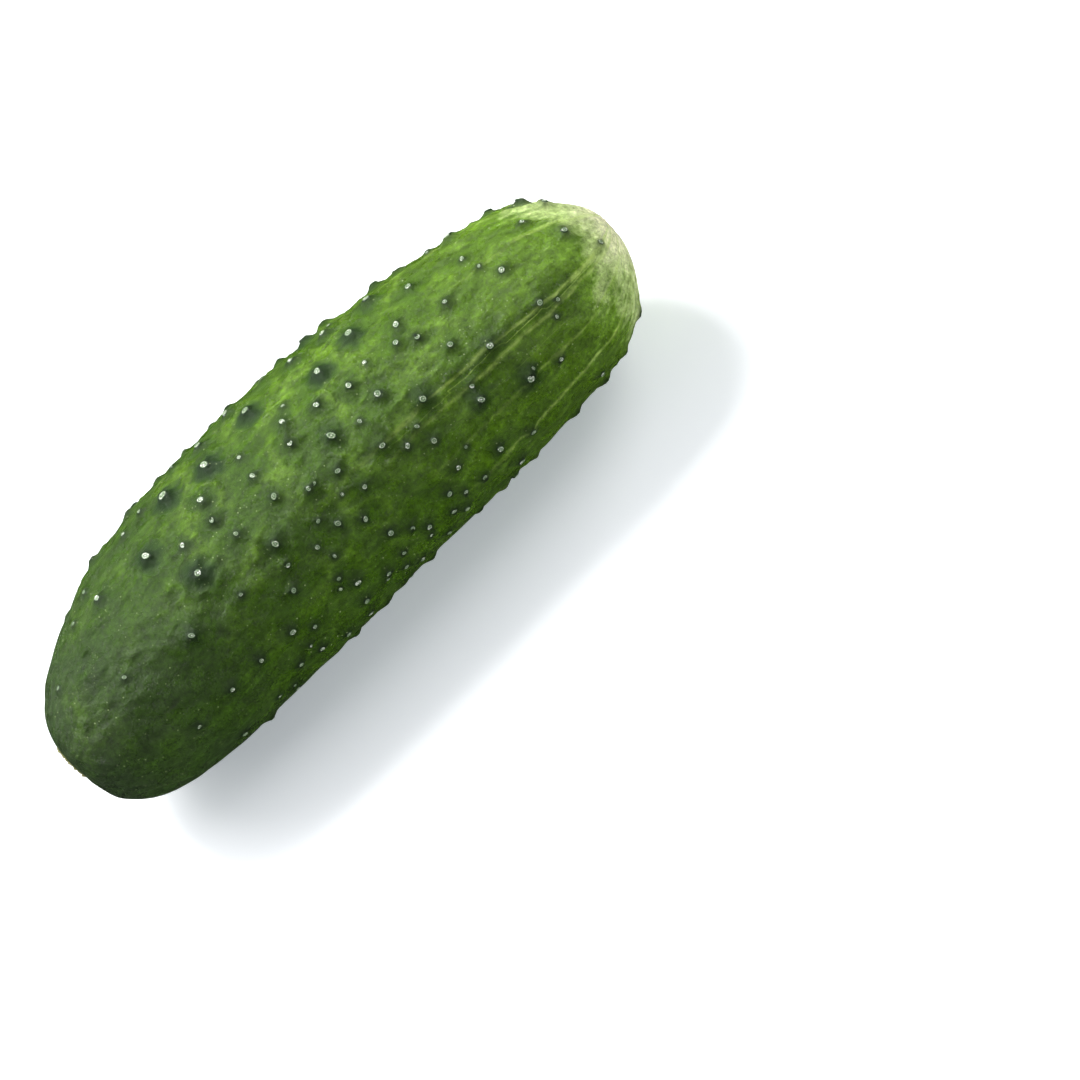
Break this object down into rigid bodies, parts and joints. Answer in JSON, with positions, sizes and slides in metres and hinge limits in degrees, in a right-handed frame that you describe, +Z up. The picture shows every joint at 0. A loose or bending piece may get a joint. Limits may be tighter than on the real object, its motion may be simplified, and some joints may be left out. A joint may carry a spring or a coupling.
{
  "type": "cucumber",
  "caption": "Short warty pickling cucumber, slightly bowed, with a dark blunt stem end and a pale rounded blossom end, lying on its belly.",
  "frame": {"origin": "on the surface it rests on, under the middle of the whole cucumber's box", "axes": "+Z up; +X along the fruit from the stem end to the blossom end; +Y towards the outside of its bow"},
  "size_m": [0.12, 0.041, 0.0391],
  "materials": {
    "skin": "waxy satin cucumber skin: blackish green at the stem end, mid green in the middle and yellow-green to cream at the blossom end, with pale stripes and fine light flecks",
    "wart_tip": "dry whitish scab on the tip of each wart, a ring with a dot in it",
    "scar": "dry beige corky scar where the stem was cut and where the flower dropped"
  },
  "bodies": {
    "root": {"cucumber": "skin"}
  },
  "joints": []
}
